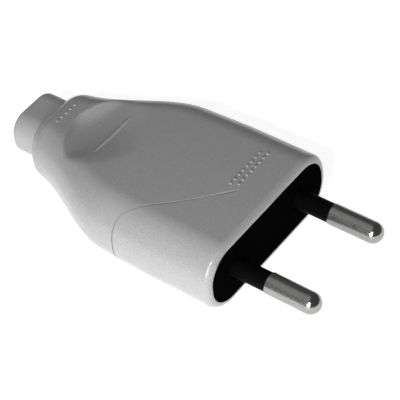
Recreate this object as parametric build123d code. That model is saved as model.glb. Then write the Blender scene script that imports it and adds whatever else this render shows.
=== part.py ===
from build123d import *
import math
import os

os.makedirs("parts", exist_ok=True)

# A flat two-pole mains plug that can be rewired, in millimetres.
# The origin is the centre of the black mating face. +X runs along the contact pins and out of the face,
# +Y is across the pair of pins, and +Z is through the thickness. The plug lies flat on its underside.

# Contact pins and their insulating sleeves
pin_spacing = 19.0
pin_radius = 2.0
pin_projection = 17.3
pin_neck_radius = 1.45
pin_shank_radius = 2.2
sleeve_reach = 6.9
sleeve_root = 3.0
sleeve_radius = 1.84
sleeve_flange_depth = 0.5
pin_head_radius = 2.9
pin_head_front = 9.0
pin_head_length = 12.0
wire_hole_radius = 1.4
wire_hole_depth = 8.0

# Outer form of the cover: a straight front, a shoulder and a collar round the cord
front_half_width = 17.7
front_half_thickness = 7.2
collar_half_width = 8.7
collar_half_thickness = 6.4
straight_length = 15.0
side_draft = 0.05
shoulder_x = -24.7
neck_x = -48.6
collar_x = -48.3
edge_flat = 0.5
collar_round = 2.6
lip_round = 1.25
wall = 1.37
station_pitch = 3.0

# Inside of the cover
low_room = 3.9
low_room_front_x = -30.0
low_room_rear_x = -37.0
room_end_x = -43.3

# Thumb scoops, one on each broad face, with a rib across
scoop_tip_x = -26.3
scoop_wide_x = -37.6
scoop_rear_x = -42.4
scoop_deep_x = -39.3
scoop_half_width = 8.7
scoop_rear_radius = 11.0
scoop_depth = 1.5
scoop_stations = 9
rib_x = -34.2
rib_width = 0.5
rib_half_length = 5.2
rib_height = 0.35

# Fine line round one long edge, and raised marks on the top
line_x = -21.0
line_points = [(-20.6, -15.2), (-18.1, -12.2), (-12.9, -7.4), (-7.5, -1.7), (-3.2, 3.3)]
line_width = 0.3
line_depth = 0.3
pip_height = 0.2
pip_radius = 0.35
pip_pitch = 1.25
front_pips_x = -7.4
front_pips_y = 5.4
front_pips = 8
front_rows_apart = 1.3
rear_pips_x = -44.9
rear_pips = 5

# Cord nozzle
nozzle_end_x = -54.2
nozzle_half_width = 6.0
nozzle_half_thickness = 4.4
nozzle_corner = 3.7
nozzle_round = 0.9
nozzle_ear_length = 1.3
cord_bore_radius = 3.2

# Contact carrier, its lid and the clamp for the cord
face_plate = 8.0
tray_rear_x = -26.0
wire_room_front_x = -21.3
wire_room_half_height = 2.2
wire_channel_radius = 2.2
tongue_rear_x = -33.0
tongue_top = -2.6
tongue_margin = 0.4
post_x = -29.8
post_spacing = 13.6
post_radius = 3.0
clamp_bar_thickness = 1.6
clamp_bar_width = 5.0
clamp_bar_end = 3.0

# Screws, nuts and wire guards
screw_radius = 1.5
screw_head_radius = 2.4
screw_head_height = 1.3
slot_width = 0.7
slot_depth = 0.6
nut_across_flats = 5.5
nut_height = 1.8
terminal_screw_x = -17.0
terminal_screw_tip = 1.2
guard_length = 4.0
guard_width = 1.3
guard_thickness = 0.3
cover_screw_x = -17.0
recess_radius = 3.0
recess_depth = 1.9
recess_floor = 0.9
cover_nut_top = -0.5
lid_screw_x = -11.2
lid_screw_radius = 1.25
lid_recess_depth = 1.6
lid_screw_floor = 1.2

# Clearances
fit_gap = 0.05
tray_gap = 0.2
screw_gap = 0.05
pocket_gap = 0.15
tongue_gap = 0.3

LEFT = 1
RIGHT = -1
SIDES = {"left": LEFT, "right": RIGHT}


def ease(u):
    """A smooth step from 0 to 1."""
    u = min(1.0, max(0.0, u))
    return u * u * (3 - 2 * u)


def half_width(x):
    """Half the width of the cover, which narrows from the shoulder to the collar."""
    front = front_half_width - side_draft * max(0.0, -straight_length - x)
    share = ease((x - neck_x) / (shoulder_x - neck_x))
    return collar_half_width + (front - collar_half_width) * share


def half_thickness(x):
    """Half the thickness of the cover, which thins over the same stretch."""
    share = ease((x - neck_x) / (shoulder_x - neck_x))
    return collar_half_thickness + (front_half_thickness - collar_half_thickness) * share


def room_half_thickness(x):
    """Half the height of the room inside, which drops to clear the thumb scoops."""
    share = ease((x - low_room_rear_x) / (low_room_front_x - low_room_rear_x))
    return low_room + (half_thickness(x) - wall - low_room) * share


def skin_height(x, y):
    """The height of the cover's top at x, y: flat in the middle, round towards the long edges."""
    corner = half_thickness(x) - edge_flat
    over = max(0.0, abs(y) - (half_width(x) - corner))
    return edge_flat + math.sqrt(max(0.0, corner**2 - over**2))


# Sizes that follow from those above
carrier_half_width = front_half_width - wall - fit_gap
carrier_half_thickness = front_half_thickness - wall - fit_gap
carrier_corner = carrier_half_thickness - edge_flat
tray_half_width = half_width(tray_rear_x) - wall - tray_gap
tray_half_thickness = front_half_thickness - wall - tray_gap
tray_corner = tray_half_thickness - edge_flat
pin_y = pin_spacing / 2
pin_head_rear_x = -pin_head_front - pin_head_length
terminal_head_top = pin_head_radius + screw_head_height
recess_top = -front_half_thickness + recess_depth + recess_floor
lid_screw_seat = tray_half_thickness - lid_recess_depth
lid_screw_tip = lid_screw_floor - tray_half_thickness
post_y = post_spacing / 2
tongue_half_width = post_y + post_radius + tongue_margin
tongue_bottom = tongue_gap - room_half_thickness(tongue_rear_x)
clamp_head_top = room_half_thickness(post_x - screw_head_radius) - pocket_gap
post_top = clamp_head_top - screw_head_height - clamp_bar_thickness


def across(x):
    """The plane across the plug at x, with its own X along +Y and its own Y along +Z."""
    return Plane(origin=(x, 0, 0), x_dir=(0, 1, 0), z_dir=(1, 0, 0))


def oblong(x, half_w, half_t, corner):
    """A rounded rectangle across the plug."""
    return across(x) * RectangleRounded(2 * half_w, 2 * half_t, corner)


def slab(x_rear, x_front, half_w, half_t, corner):
    """A straight bar of rounded-rectangle section."""
    return extrude(oblong(x_rear, half_w, half_t, corner), amount=x_front - x_rear)


def block(x, y, z):
    """A box between two values along each axis."""
    size = (x[1] - x[0], y[1] - y[0], z[1] - z[0])
    return Pos((x[0] + x[1]) / 2, (y[0] + y[1]) / 2, (z[0] + z[1]) / 2) * Box(*size)


def rod(x0, x1, radius, y=0.0):
    """A round bar along X."""
    return Pos((x0 + x1) / 2, y, 0) * Rot(0, 90, 0) * Cylinder(radius, x1 - x0)


def post(x, y, z0, z1, radius):
    """A round bar along Z."""
    return Pos(x, y, (z0 + z1) / 2) * Cylinder(radius, z1 - z0)


def hexagon(x, y, z0, z1, across_flats):
    """A six-sided bar along Z."""
    face = Pos(x, y, z0) * RegularPolygon(across_flats / math.sqrt(3), 6)
    return extrude(face, amount=z1 - z0)


def stations(x_front, x_rear):
    """Places for the sections of a loft, evenly spaced at about the station pitch."""
    count = max(2, round((x_front - x_rear) / station_pitch))
    return [x_front + (x_rear - x_front) * i / count for i in range(count + 1)]


def outer_form(inset=0.0):
    """The outside of the cover, or the same form a little smaller all round."""
    front = slab(-straight_length, 0, front_half_width - inset, front_half_thickness - inset,
                 front_half_thickness - edge_flat - inset)
    faces = []
    for x in stations(-straight_length, collar_x):
        half_t = half_thickness(x)
        faces.append(oblong(x, half_width(x) - inset, half_t - inset, half_t - edge_flat - inset))
    return front + loft(faces)


def room_form():
    """The room inside the cover, open at the front."""
    half_t = room_half_thickness(0)
    front = slab(-straight_length, 1, front_half_width - wall, half_t, half_t - edge_flat)
    faces = []
    for x in stations(-straight_length, room_end_x):
        half_t = room_half_thickness(x)
        faces.append(oblong(x, half_width(x) - wall, half_t, half_t - edge_flat))
    return front + loft(faces, ruled=True)


def scoop_edge(x):
    """Half the width of the scoop: a leaf in front of its widest place, an arc behind it."""
    if x > scoop_wide_x:
        share = (x - scoop_wide_x) / (scoop_tip_x - scoop_wide_x)
        return scoop_half_width * (1 - share * share) ** 0.8
    rise = x - scoop_rear_x
    return min(scoop_half_width, math.sqrt(scoop_rear_radius**2 - (scoop_rear_radius - rise) ** 2))


def scoop_sink(x):
    """The depth of the scoop on its middle line: slow from the tip, steep at the rear."""
    if x > scoop_deep_x:
        return scoop_depth * ease((scoop_tip_x - x) / (scoop_tip_x - scoop_deep_x))
    share = (x - scoop_deep_x) / (scoop_rear_x - scoop_deep_x)
    return scoop_depth * math.sqrt(1 - share * share)


def scoop_cutter():
    """The hollow of the scoop on the top, as a loft of shallow bowls."""
    length = scoop_tip_x - scoop_rear_x
    faces = []
    for i in range(scoop_stations):
        share = (1 - math.cos(math.pi * (i + 0.35) / (scoop_stations - 0.3))) / 2
        x = scoop_tip_x - length * share
        edge = scoop_edge(x)
        side = skin_height(x, edge)
        top = half_thickness(x)
        bowl = ThreePointArc((-edge, side), (0, top - scoop_sink(x)), (edge, side))
        lid = Polyline((edge, side), (edge, top + 1), (-edge, top + 1), (-edge, side))
        faces.append(across(x) * make_face([bowl, lid]))
    return loft(faces)


def line_cutter():
    """A thin blade through the plug, kept to a shallow depth below the outside."""
    run_in = [(line_x, -front_half_width - 1), (line_x, -front_half_width + 0.8)]
    path = Spline(*run_in, *line_points)
    height = 2 * front_half_thickness + 2
    blade = extrude(trace(path, line_width), amount=height / 2, both=True)
    return blade - outer_form(line_depth)


def pip_places():
    """Where the raised pips stand: two staggered rows near the front and one row on the collar."""
    places = []
    for row in (-1, 1):
        for i in range(front_pips):
            y = front_pips_y + (i - (front_pips - 1) / 2 + row / 4) * pip_pitch
            places.append((front_pips_x + row * front_rows_apart / 2, y))
    for i in range(rear_pips):
        places.append((rear_pips_x, (i - (rear_pips - 1) / 2) * pip_pitch))
    return places


def make_cover():
    """The grey outer cover, moulded as one sleeve that slides over the carrier from behind."""
    body = outer_form()
    body = fillet(body.faces().sort_by(Axis.X)[0].outer_wire().edges(), collar_round)
    body = fillet(body.faces().sort_by(Axis.X)[-1].outer_wire().edges(), lip_round)
    for x, y in pip_places():
        top = skin_height(x, y)
        body += post(x, y, top - wall / 2, top + pip_height, pip_radius)
    scoop = scoop_cutter()
    body -= scoop
    body -= mirror(scoop, Plane.XY)
    floor = half_thickness(rib_x) - scoop_sink(rib_x)
    rib = block((rib_x - rib_width / 2, rib_x + rib_width / 2), (-rib_half_length, rib_half_length),
                (floor - wall / 2, floor + rib_height))
    body += rib
    body += mirror(rib, Plane.XY)
    body -= line_cutter()
    body -= room_form()
    body += post(cover_screw_x, 0, -front_half_thickness + wall / 2, recess_top, recess_radius + wall)
    body -= post(cover_screw_x, 0, -front_half_thickness - 1, -front_half_thickness + recess_depth, recess_radius)
    body -= post(cover_screw_x, 0, -front_half_thickness, recess_top, screw_radius + screw_gap)
    hole = slab(collar_x - 1, room_end_x + 1, nozzle_half_width + fit_gap,
                nozzle_half_thickness + fit_gap, nozzle_corner + fit_gap)
    return body - (hole & slab(collar_x - 1, room_end_x, front_half_width, front_half_thickness, 1))


def make_nozzle():
    """The bush that the cord leaves through, held in the collar by two ears."""
    body = slab(nozzle_end_x, room_end_x, nozzle_half_width, nozzle_half_thickness, nozzle_corner)
    body = fillet(body.faces().sort_by(Axis.X)[0].outer_wire().edges(), nozzle_round)
    ear_half = low_room - fit_gap
    ear_reach = half_width(room_end_x) - wall - tray_gap
    body += slab(room_end_x, room_end_x + nozzle_ear_length, ear_reach, ear_half, ear_half - edge_flat)
    return body - rod(nozzle_end_x - 1, room_end_x + nozzle_ear_length + 1, cord_bore_radius)


def pin_pockets():
    """The spaces that hold both pins' heads and bring the wires to them."""
    pockets = []
    for side in SIDES.values():
        y = side * pin_y
        pockets.append(rod(pin_head_rear_x - fit_gap, -pin_head_front + fit_gap, pin_head_radius + fit_gap, y))
        pockets.append(rod(tray_rear_x - 1, pin_head_rear_x, wire_channel_radius, y))
        pockets.append(rod(-pin_head_front, -sleeve_root, pin_shank_radius + fit_gap, y))
    pockets.append(block((tray_rear_x - 1, wire_room_front_x), (-pin_y, pin_y),
                         (-wire_room_half_height, wire_room_half_height)))
    return pockets


def make_carrier():
    """The black carrier: the mating face, a tray for the terminals and a tongue with two posts."""
    body = slab(-face_plate, 0, carrier_half_width, carrier_half_thickness, carrier_corner)
    tray = slab(tray_rear_x, -face_plate, tray_half_width, tray_half_thickness, tray_corner)
    body += tray & block((tray_rear_x, -face_plate), (-tray_half_width, tray_half_width),
                         (-tray_half_thickness, 0))
    body += block((tongue_rear_x, tray_rear_x), (-tongue_half_width, tongue_half_width), (tongue_bottom, tongue_top))
    for side in SIDES.values():
        y = side * pin_y
        body += post(post_x, side * post_y, tongue_bottom, post_top, post_radius)
        body -= post(post_x, side * post_y, tongue_bottom - 1, post_top + 1, screw_radius + screw_gap)
        body -= hexagon(post_x, side * post_y, tongue_bottom - 1, tongue_bottom + nut_height,
                        nut_across_flats + 2 * fit_gap)
        body -= rod(-pin_head_front, 1, pin_shank_radius + fit_gap, y)
    for pocket in pin_pockets():
        body -= pocket
    body -= post(cover_screw_x, 0, -front_half_thickness, recess_top + fit_gap, recess_radius + wall + pocket_gap)
    body -= post(cover_screw_x, 0, -front_half_thickness, 0, screw_radius + screw_gap)
    body -= hexagon(cover_screw_x, 0, cover_nut_top - nut_height, 1, nut_across_flats + 2 * fit_gap)
    return body - post(lid_screw_x, 0, lid_screw_tip - fit_gap, 1, lid_screw_radius + screw_gap)


def make_lid():
    """The black lid that closes the tray over the terminals."""
    x_front = -face_plate - fit_gap
    body = slab(tray_rear_x, x_front, tray_half_width, tray_half_thickness, tray_corner)
    body &= block((tray_rear_x, x_front), (-tray_half_width, tray_half_width), (fit_gap, tray_half_thickness))
    for pocket in pin_pockets():
        body -= pocket
    for side in SIDES.values():
        body -= post(terminal_screw_x, side * pin_y, 0, terminal_head_top + pocket_gap, screw_head_radius + pocket_gap)
    body -= post(lid_screw_x, 0, lid_screw_seat, tray_half_thickness + 1, screw_head_radius + pocket_gap)
    return body - post(lid_screw_x, 0, 0, lid_screw_seat + 1, lid_screw_radius + screw_gap)


def make_pin(side):
    """A turned contact pin: round-ended rod, neck under the sleeve, shank, and head with a wire hole."""
    y = side * pin_y
    tip_x = pin_projection - pin_radius
    body = rod(sleeve_reach, tip_x, pin_radius, y) + Pos(tip_x, y, 0) * Sphere(pin_radius)
    body += rod(-sleeve_root, sleeve_reach, pin_neck_radius, y)
    body += rod(-pin_head_front, -sleeve_root, pin_shank_radius, y)
    body += rod(pin_head_rear_x, -pin_head_front, pin_head_radius, y)
    body -= rod(pin_head_rear_x - 1, pin_head_rear_x + wire_hole_depth, wire_hole_radius, y)
    return body - post(terminal_screw_x, y, 0, pin_head_radius + 1, screw_radius + screw_gap)


def make_sleeve(side):
    """The insulating sleeve on the root of a pin, with a wider flange seated in the carrier."""
    y = side * pin_y
    body = rod(-sleeve_root, sleeve_reach - fit_gap, sleeve_radius, y)
    body += rod(-sleeve_root, -sleeve_flange_depth, pin_shank_radius, y)
    return body - rod(-sleeve_root - 1, sleeve_reach + 1, pin_neck_radius + fit_gap, y)


def make_screw(x, y, seat, tip, radius, upward=True):
    """A slotted screw along Z, with its head on the seat and its tip at the far end."""
    way = 1 if upward else -1
    head_end = seat + way * screw_head_height
    body = post(x, y, min(seat, tip), max(seat, tip), radius)
    body += post(x, y, min(seat, head_end), max(seat, head_end), screw_head_radius)
    slot_end = head_end - way * slot_depth
    slot = block((x - slot_width / 2, x + slot_width / 2), (y - screw_head_radius, y + screw_head_radius),
                 (min(slot_end, head_end), max(slot_end, head_end)))
    return body - slot


def make_nut(x, y, z_low):
    """A thin hexagon nut on the axis of a screw."""
    body = hexagon(x, y, z_low, z_low + nut_height, nut_across_flats)
    return body - post(x, y, z_low - 1, z_low + nut_height + 1, screw_radius + screw_gap)


def make_guard(side):
    """The leaf that keeps a terminal screw from cutting the wire."""
    y = side * pin_y
    x_span = (terminal_screw_x - guard_length / 2, terminal_screw_x + guard_length / 2)
    return block(x_span, (y - guard_width / 2, y + guard_width / 2),
                 (terminal_screw_tip - guard_thickness, terminal_screw_tip))


def make_clamp_bar():
    """The bar that presses the cord down between the posts."""
    half_length = post_y + clamp_bar_end
    x_span = (post_x - clamp_bar_width / 2, post_x + clamp_bar_width / 2)
    body = block(x_span, (-half_length, half_length), (post_top, post_top + clamp_bar_thickness))
    body = fillet(body.edges().filter_by(Axis.Z), clamp_bar_width / 2 - 0.1)
    for side in SIDES.values():
        body -= post(post_x, side * post_y, post_top - 1, post_top + clamp_bar_thickness + 1, screw_radius + screw_gap)
    return body


pieces = {
    "cover": make_cover(),
    "cord_nozzle": make_nozzle(),
    "contact_carrier": make_carrier(),
    "carrier_lid": make_lid(),
    "cord_clamp_bar": make_clamp_bar(),
    "cover_screw": make_screw(cover_screw_x, 0, -front_half_thickness + recess_depth,
                              cover_nut_top, screw_radius, upward=False),
    "cover_nut": make_nut(cover_screw_x, 0, cover_nut_top - nut_height),
    "lid_screw": make_screw(lid_screw_x, 0, lid_screw_seat, lid_screw_tip, lid_screw_radius),
}
for name, side in SIDES.items():
    pieces[f"pin_{name}"] = make_pin(side)
    pieces[f"pin_sleeve_{name}"] = make_sleeve(side)
    pieces[f"terminal_screw_{name}"] = make_screw(terminal_screw_x, side * pin_y, pin_head_radius,
                                                  terminal_screw_tip, screw_radius)
    pieces[f"wire_guard_{name}"] = make_guard(side)
    pieces[f"cord_clamp_screw_{name}"] = make_screw(post_x, side * post_y, post_top + clamp_bar_thickness,
                                                    tongue_bottom, screw_radius)
    pieces[f"cord_clamp_nut_{name}"] = make_nut(post_x, side * post_y, tongue_bottom)

for name, solid in pieces.items():
    export_step(solid, f"parts/{name}.step")
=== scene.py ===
import math

import bmesh
import bpy
import numpy as np
from bpy.props import FloatProperty, FloatVectorProperty, IntProperty, PointerProperty
from mathutils import Matrix, Vector


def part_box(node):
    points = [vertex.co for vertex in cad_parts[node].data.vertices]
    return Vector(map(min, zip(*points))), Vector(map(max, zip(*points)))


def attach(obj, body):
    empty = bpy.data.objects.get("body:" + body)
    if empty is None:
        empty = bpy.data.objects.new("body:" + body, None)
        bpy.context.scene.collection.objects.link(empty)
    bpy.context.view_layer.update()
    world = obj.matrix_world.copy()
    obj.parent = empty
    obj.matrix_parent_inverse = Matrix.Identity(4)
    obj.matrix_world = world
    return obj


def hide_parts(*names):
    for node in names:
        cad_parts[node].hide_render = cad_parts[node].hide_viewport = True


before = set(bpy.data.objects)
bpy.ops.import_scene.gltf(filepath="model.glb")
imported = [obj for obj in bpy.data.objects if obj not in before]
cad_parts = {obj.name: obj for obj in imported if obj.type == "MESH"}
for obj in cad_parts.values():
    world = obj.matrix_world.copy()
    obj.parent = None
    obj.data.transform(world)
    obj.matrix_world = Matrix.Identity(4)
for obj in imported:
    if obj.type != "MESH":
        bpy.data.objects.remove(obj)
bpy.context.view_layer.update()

bl_info = {
    "name": "Rewirable flat mains plug",
    "version": (1, 0, 0),
    "blender": (4, 5, 0),
    "location": "3D View > Sidebar > Plug",
    "description": "Surfaces, finishes and studio for a flat grey two-pole plug lying on its underside",
    "category": "Object",
}

BODY = "root"
FLOOR_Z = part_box("cover")[0][2]
FLOOR_HALF = 3.0

# Room between pieces that fit into each other, the bevel on moulded edges, and what counts as a sharp edge.
FIT_GAP = 0.00005
EDGE_BREAK = 0.0001
SHARP_ANGLE = math.radians(50)
# Points nearer to each other than the first are one point, and an edge shorter than the second is none.
SAME_POINT, NO_LENGTH = 1e-7, 1e-8

# The fine line in plan: x for each y, from the near edge inwards. Rings of the cover keep to it past its end.
LINE_Y = np.array([-0.0187, -0.0169, -0.0152, -0.0122, -0.0074, -0.0017, 0.0033, 0.0080, 0.0190])
LINE_X = np.array([-0.0210, -0.0210, -0.0206, -0.0181, -0.0129, -0.0075, -0.0032, -0.0023, -0.0022])
# Rings beside the line, and the edges of its floor and its rim, in line widths from its middle.
LINE_STEPS = np.array([-1.0, -0.5, -0.4, -0.3, 0.3, 0.4, 0.5, 1.0])
LINE_FLOOR, LINE_RIM = 0.3, 0.5

# Rings of the cover's outside: round the lip, up to the line, from the line to the scoop, up to the rib,
# across the rib, from it to the scoop's rear, from there to the collar's edge, and round that edge.
LIP_RINGS, FRONT_RINGS, MIDDLE_RINGS = 10, 45, 40
AHEAD_RINGS, RIB_RINGS, BEHIND_RINGS, COLLAR_RINGS, EDGE_RINGS = 30, 20, 49, 10, 14
# How far the rings across the rib reach to each side of it, and those of the scoop beyond its rear.
RIB_REACH, SCOOP_REACH = 0.0008, 0.0004

# The patch of the cover's skin that the screw recess takes the place of: half its length in the room and half
# its width, the rings across it and those between it and the line, and the room's rings behind and in front.
PATCH_HALF_LENGTH, PATCH_HALF_WIDTH = 0.0042, 0.0043
PATCH_RINGS, PATCH_LEAD = 23, 7
ROOM_RINGS, MOUTH_RINGS = 9, 3

# One pip's profile, as shares of its radius and height, from its top to the middle of its sunken foot.
PIP_RADIUS = np.array([0.0, 0.25, 0.5, 0.7, 0.85, 0.95, 1.0, 1.0, 1.0, 0.0])
PIP_HEIGHT = np.array([1.0, 0.98, 0.92, 0.80, 0.62, 0.40, 0.10, -0.5, -1.0, -1.0])
PIP_COLUMNS = 20
# How far each front row of pips is moved along itself, in pitches.
PIP_STAGGER = 0.25

# Columns round a turned piece, points on a small quarter round, rings that blend the screw recess into the
# skin, samples along the scoop, and steps of a search by halving.
TURN_COLUMNS = 96
ROUND_POINTS = 7
BLEND_RINGS = 4
SCOOP_SAMPLES = 640
HALVINGS = 40

# Nearly all of a noise pattern lies between these values.
PATTERN_LOW, PATTERN_HIGH = 0.3, 0.7
# Lumps a metre: the soft wear on metal, its hair lines along their length, and the roughness of the floor.
WEAR_LUMPS, HAIR_LUMPS, FLOOR_LUMPS = 2200, 60, 900


class PlugCoverSizes(bpy.types.PropertyGroup):
    """Outer form of the grey cover."""
    front_half_width: FloatProperty(
        name="Front half width", description="Half the width across the pins at the front",
        default=0.0177, unit="LENGTH")
    front_half_thickness: FloatProperty(
        name="Front half thickness", description="Half the thickness at the front",
        default=0.0072, unit="LENGTH")
    collar_half_width: FloatProperty(
        name="Collar half width", description="Half the width of the collar round the cord nozzle",
        default=0.0087, unit="LENGTH")
    collar_half_thickness: FloatProperty(
        name="Collar half thickness", description="Half the thickness of the collar",
        default=0.0064, unit="LENGTH")
    straight_length: FloatProperty(
        name="Straight length", description="Length behind the mating face with no draft",
        default=0.015, unit="LENGTH")
    side_draft: FloatProperty(
        name="Side draft", description="How much each side draws in per unit of length behind the straight",
        default=0.05)
    shoulder_x: FloatProperty(
        name="Shoulder place", description="Where the sides start to sweep in",
        default=-0.0247, unit="LENGTH")
    neck_x: FloatProperty(
        name="Neck place", description="Where the sweep of the sides would end",
        default=-0.0486, unit="LENGTH")
    collar_x: FloatProperty(
        name="Collar end", description="Place of the rear end of the collar",
        default=-0.0483, unit="LENGTH")
    edge_flat: FloatProperty(
        name="Edge flat", description="Half the flat strip along the middle of each long edge",
        default=0.0005, unit="LENGTH")
    collar_round: FloatProperty(
        name="Collar round", description="Radius of the rear edge of the collar",
        default=0.0026, unit="LENGTH")
    lip_round: FloatProperty(
        name="Lip round", description="Radius of the front edge round the mating face",
        default=0.00125, unit="LENGTH")
    wall: FloatProperty(
        name="Wall", description="Thickness of the moulded wall", default=0.00137, unit="LENGTH")
    line_width: FloatProperty(
        name="Line width", description="Width of the fine line at the surface",
        default=0.00036, unit="LENGTH")
    line_depth: FloatProperty(
        name="Line depth", description="Depth of the fine line", default=0.0003, unit="LENGTH")
    line_end_y: FloatProperty(
        name="Line end", description="How far across the fine line runs before it has faded out",
        default=0.0018, unit="LENGTH")
    line_fade: FloatProperty(
        name="Line fade", description="Width of the stretch over which the fine line fades out",
        default=0.012, unit="LENGTH")
    low_room: FloatProperty(
        name="Low room", description="Half the height inside, below the thumb scoops",
        default=0.0039, unit="LENGTH")
    low_room_x: FloatProperty(
        name="Low room front", description="Where the height inside starts to rise in front of the low room",
        default=-0.037, unit="LENGTH")
    low_room_rise: FloatProperty(
        name="Low room rise", description="Length over which the height inside rises",
        default=0.007, unit="LENGTH")
    room_end_x: FloatProperty(
        name="Room end", description="Where the room inside ends at the nozzle",
        default=-0.0433, unit="LENGTH")
    recess_x: FloatProperty(
        name="Recess place", description="Place of the screw recess in the underside",
        default=-0.017, unit="LENGTH")
    recess_radius: FloatProperty(
        name="Recess radius", description="Radius of the screw recess", default=0.003, unit="LENGTH")
    recess_rim: FloatProperty(
        name="Recess rim", description="Radius of the rounded rim of the screw recess",
        default=0.0003, unit="LENGTH")
    recess_depth: FloatProperty(
        name="Recess depth", description="Depth of the screw recess", default=0.0019, unit="LENGTH")
    recess_floor: FloatProperty(
        name="Recess floor", description="Thickness of the boss under the screw head",
        default=0.0009, unit="LENGTH")
    screw_hole_radius: FloatProperty(
        name="Screw hole radius", description="Radius of the hole for the cover screw",
        default=0.00155, unit="LENGTH")


class PlugScoopSizes(bpy.types.PropertyGroup):
    """Thumb scoop with a rib across, the same on both broad faces."""
    tip_x: FloatProperty(
        name="Tip", description="Front end of the scoop", default=-0.0263, unit="LENGTH")
    wide_x: FloatProperty(
        name="Widest place", description="Where the scoop is widest", default=-0.0376, unit="LENGTH")
    deep_x: FloatProperty(
        name="Deepest place", description="Where the scoop is deepest", default=-0.0393, unit="LENGTH")
    rear_x: FloatProperty(
        name="Rear", description="Rear end of the scoop", default=-0.0424, unit="LENGTH")
    half_width: FloatProperty(
        name="Half width", description="Half the width of the scoop at its widest",
        default=0.0087, unit="LENGTH")
    leaf_power: FloatProperty(
        name="Leaf power", description="How pointed the scoop's front is, where 0.5 makes an ellipse",
        default=0.8)
    rear_radius: FloatProperty(
        name="Rear radius", description="Radius of the rear edge, seen from above",
        default=0.011, unit="LENGTH")
    depth: FloatProperty(
        name="Depth", description="Greatest depth of the scoop", default=0.0015, unit="LENGTH")
    edge_blend: FloatProperty(
        name="Edge blend", description="Softness of the scoop's edge", default=0.0006, unit="LENGTH")
    rear_softness: FloatProperty(
        name="Rear softness", description="Share of the edge blend that is left at the scoop's rear",
        default=0.25)
    rear_soften: FloatProperty(
        name="Rear softening", description="Length over which the edge softens from the rear forwards",
        default=0.006, unit="LENGTH")
    tip_soften: FloatProperty(
        name="Tip softening", description="Length over which the edge softens from the tip rearwards",
        default=0.009, unit="LENGTH")
    rib_x: FloatProperty(
        name="Rib place", description="Place of the rib along the plug", default=-0.0342, unit="LENGTH")
    rib_width: FloatProperty(
        name="Rib width", description="Width of the rib", default=0.0005, unit="LENGTH")
    rib_half_length: FloatProperty(
        name="Rib half length", description="Half the length of the rib", default=0.0052, unit="LENGTH")
    rib_height: FloatProperty(
        name="Rib height", description="Height of the rib above the scoop's floor",
        default=0.0003, unit="LENGTH")


class PlugMarkSizes(bpy.types.PropertyGroup):
    """Raised pips moulded on the top."""
    radius: FloatProperty(
        name="Pip radius", description="Radius of one pip", default=0.00035, unit="LENGTH")
    height: FloatProperty(
        name="Pip height", description="Height of one pip", default=0.0002, unit="LENGTH")
    pitch: FloatProperty(
        name="Pip pitch", description="Distance between pips in a row", default=0.00125, unit="LENGTH")
    front_x: FloatProperty(
        name="Front marks", description="Middle of the two front rows", default=-0.0074, unit="LENGTH")
    front_y: FloatProperty(
        name="Front marks across", description="Middle of the two front rows, across the plug",
        default=0.0054, unit="LENGTH")
    rows_apart: FloatProperty(
        name="Rows apart", description="Distance between the two front rows", default=0.0013, unit="LENGTH")
    rear_x: FloatProperty(
        name="Rear marks", description="Place of the row on the collar", default=-0.0449, unit="LENGTH")
    front_count: IntProperty(
        name="Front count", description="Pips in each front row", default=8, min=1)
    rear_count: IntProperty(
        name="Rear count", description="Pips in the row on the collar", default=5, min=1)


class PlugNozzleSizes(bpy.types.PropertyGroup):
    """Bush that a cord would leave through."""
    end_x: FloatProperty(
        name="End", description="Place of the open rear end", default=-0.0542, unit="LENGTH")
    half_width: FloatProperty(
        name="Half width", description="Half the width of the bush", default=0.006, unit="LENGTH")
    half_thickness: FloatProperty(
        name="Half thickness", description="Half the thickness of the bush", default=0.0044, unit="LENGTH")
    corner: FloatProperty(
        name="Corner", description="Radius of the bush's section", default=0.0037, unit="LENGTH")
    end_round: FloatProperty(
        name="End round", description="Radius of the rear edge", default=0.0009, unit="LENGTH")
    ear_length: FloatProperty(
        name="Ear length", description="Length of the ears inside", default=0.0013, unit="LENGTH")
    ear_reach: FloatProperty(
        name="Ear reach", description="How far each ear reaches out from the middle",
        default=0.00805, unit="LENGTH")
    ear_flat: FloatProperty(
        name="Ear flat", description="Half the flat strip on the outer edge of each ear",
        default=0.0005, unit="LENGTH")
    bore_radius: FloatProperty(
        name="Bore radius", description="Radius of the cord bore", default=0.0032, unit="LENGTH")
    bore_mouth: FloatProperty(
        name="Bore mouth", description="Radius of the rounded mouth of the bore",
        default=0.0004, unit="LENGTH")


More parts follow.
